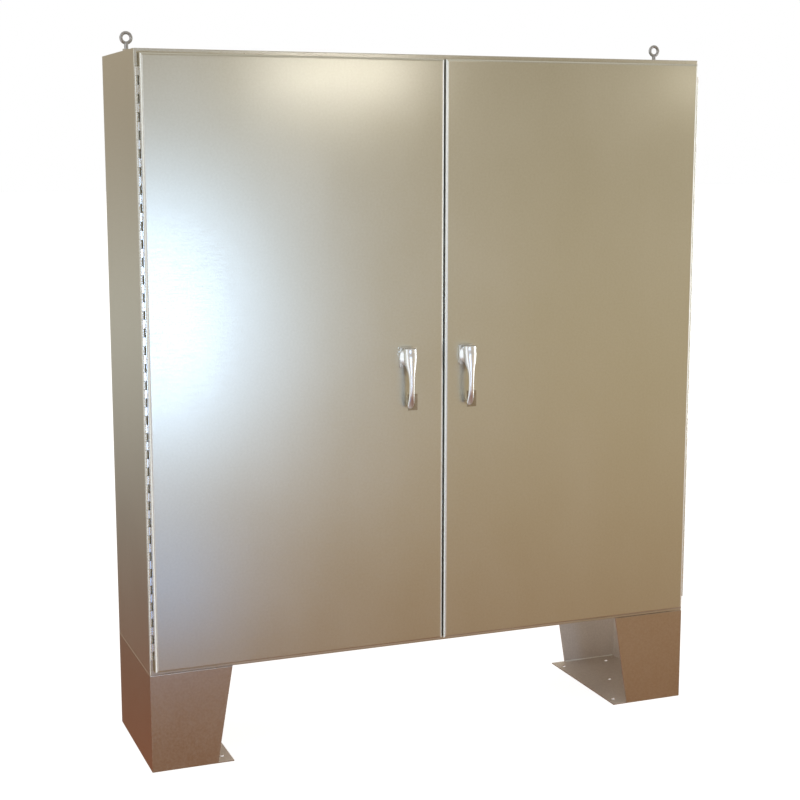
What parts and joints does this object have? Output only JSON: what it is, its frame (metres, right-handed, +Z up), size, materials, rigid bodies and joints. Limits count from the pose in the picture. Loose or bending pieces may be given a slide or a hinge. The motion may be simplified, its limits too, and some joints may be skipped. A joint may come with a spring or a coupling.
{
  "type": "industrial switchboard cabinet",
  "caption": "Free-standing stainless switchboard cabinet with hinged doors, lever handles with three-point latches, lifting eyebolts and floor stands.",
  "frame": {"origin": "on the floor, midway between the two stands and midway between front and back: the centre of the outer anchor-hole rectangle", "axes": "+X to the right seen from the front, +Y to the back (the doors face -Y), +Z up"},
  "size_m": [1.8288, 0.5242, 2.1951],
  "materials": {
    "stainless_sheet": "brushed, satin",
    "stand_stainless": "brushed, satin",
    "hinge_stainless": "satin",
    "handle_chrome": "bright polished",
    "fastener_steel": "bright",
    "latch_zinc": "zinc plated",
    "roller_nylon": "matt",
    "gasket_foam": "matt, closed cell",
    "panel_white": "smooth white enamel"
  },
  "bodies": {
    "cabinet": {"back_panel": "stainless_sheet", "bottom_panel": "stainless_sheet", "centre_post": "stainless_sheet", "centre_post_screws": "fastener_steel", "earth_stud": "fastener_steel", "eyebolt_nuts": "fastener_steel", "eyebolt_washers": "fastener_steel", "hinge_pins": "hinge_stainless", "left_hinge_frame_leaf": "hinge_stainless", "left_side_panel": "stainless_sheet", "left_stand": "stand_stainless", "lifting_eyebolts": "fastener_steel", "mounting_panel": "panel_white", "panel_nuts": "fastener_steel", "panel_studs": "fastener_steel", "right_hinge_frame_leaf": "hinge_stainless", "right_side_panel": "stainless_sheet", "right_stand": "stand_stainless", "stand_bolts": "fastener_steel", "stand_nuts": "fastener_steel", "top_panel": "stainless_sheet"},
    "left_door": {"left_hinge_door_leaf": "hinge_stainless", "left_door_skin": "stainless_sheet", "left_door_gasket": "gasket_foam", "left_door_stiffeners": "stainless_sheet", "left_escutcheon": "handle_chrome", "left_escutcheon_nuts": "fastener_steel", "left_shaft_bearing": "latch_zinc", "left_padlock_staple": "stainless_sheet", "left_rod_guides": "latch_zinc", "data_pocket": "stainless_sheet"},
    "left_handle": {"left_handle_lever": "handle_chrome", "left_handle_shaft": "latch_zinc", "left_latch_cam": "latch_zinc", "left_drive_pins": "fastener_steel"},
    "left_upper_latch_rod": {"left_upper_rod": "latch_zinc", "left_upper_roller_pin": "fastener_steel"},
    "left_lower_latch_rod": {"left_lower_rod": "latch_zinc", "left_lower_roller_pin": "fastener_steel"},
    "left_upper_latch_roller": {"left_upper_roller": "roller_nylon"},
    "left_lower_latch_roller": {"left_lower_roller": "roller_nylon"},
    "right_door": {"right_hinge_door_leaf": "hinge_stainless", "right_door_skin": "stainless_sheet", "right_door_gasket": "gasket_foam", "right_door_stiffeners": "stainless_sheet", "right_escutcheon": "handle_chrome", "right_escutcheon_nuts": "fastener_steel", "right_shaft_bearing": "latch_zinc", "right_padlock_staple": "stainless_sheet", "right_rod_guides": "latch_zinc"},
    "right_handle": {"right_handle_lever": "handle_chrome", "right_handle_shaft": "latch_zinc", "right_latch_cam": "latch_zinc", "right_drive_pins": "fastener_steel"},
    "right_upper_latch_rod": {"right_upper_rod": "latch_zinc", "right_upper_roller_pin": "fastener_steel"},
    "right_lower_latch_rod": {"right_lower_rod": "latch_zinc", "right_lower_roller_pin": "fastener_steel"},
    "right_upper_latch_roller": {"right_upper_roller": "roller_nylon"},
    "right_lower_latch_roller": {"right_lower_roller": "roller_nylon"}
  },
  "joints": [
    {"name": "left_door_swing", "type": "hinge", "parent": "cabinet", "child": "left_door", "pos_m": [-0.9092, -0.234, 1.2192], "axis": [0, 0, -1], "range_deg": [0, 150]},
    {"name": "left_handle_turn", "type": "hinge", "parent": "left_door", "child": "left_handle", "pos_m": [-0.099, -0.2536, 1.2262], "axis": [0, 1, 0], "range_deg": [0, 90]},
    {"name": "left_upper_rod_slide", "type": "slide", "parent": "left_door", "child": "left_upper_latch_rod", "axis": [0, 0, -1], "range_m": [0, 0.02868]},
    {"name": "left_upper_roller_spin", "type": "hinge", "parent": "left_upper_latch_rod", "child": "left_upper_latch_roller", "pos_m": [-0.08193, -0.2145, 2.0776], "axis": [1, 0, 0], "continuous": true},
    {"name": "left_lower_rod_slide", "type": "slide", "parent": "left_door", "child": "left_lower_latch_rod", "axis": [0, 0, 1], "range_m": [0, 0.02868]},
    {"name": "left_lower_roller_spin", "type": "hinge", "parent": "left_lower_latch_rod", "child": "left_lower_latch_roller", "pos_m": [-0.11607, -0.2145, 0.3608], "axis": [1, 0, 0], "continuous": true},
    {"name": "right_door_swing", "type": "hinge", "parent": "cabinet", "child": "right_door", "pos_m": [0.9092, -0.234, 1.2192], "axis": [0, 0, 1], "range_deg": [0, 150]},
    {"name": "right_handle_turn", "type": "hinge", "parent": "right_door", "child": "right_handle", "pos_m": [0.099, -0.2536, 1.2262], "axis": [0, -1, 0], "range_deg": [0, 90]},
    {"name": "right_upper_rod_slide", "type": "slide", "parent": "right_door", "child": "right_upper_latch_rod", "axis": [0, 0, -1], "range_m": [0, 0.02868]},
    {"name": "right_upper_roller_spin", "type": "hinge", "parent": "right_upper_latch_rod", "child": "right_upper_latch_roller", "pos_m": [0.08193, -0.2145, 2.0776], "axis": [1, 0, 0], "continuous": true},
    {"name": "right_lower_rod_slide", "type": "slide", "parent": "right_door", "child": "right_lower_latch_rod", "axis": [0, 0, 1], "range_m": [0, 0.02868]},
    {"name": "right_lower_roller_spin", "type": "hinge", "parent": "right_lower_latch_rod", "child": "right_lower_latch_roller", "pos_m": [0.11607, -0.2145, 0.3608], "axis": [1, 0, 0], "continuous": true}
  ],
  "couplings": [
    {"joint": "left_upper_rod_slide", "follows": "left_handle_turn", "m_per_rad": 0.018006},
    {"joint": "left_lower_rod_slide", "follows": "left_handle_turn", "m_per_rad": 0.018006},
    {"joint": "right_upper_rod_slide", "follows": "right_handle_turn", "m_per_rad": 0.018006},
    {"joint": "right_lower_rod_slide", "follows": "right_handle_turn", "m_per_rad": 0.018006}
  ]
}
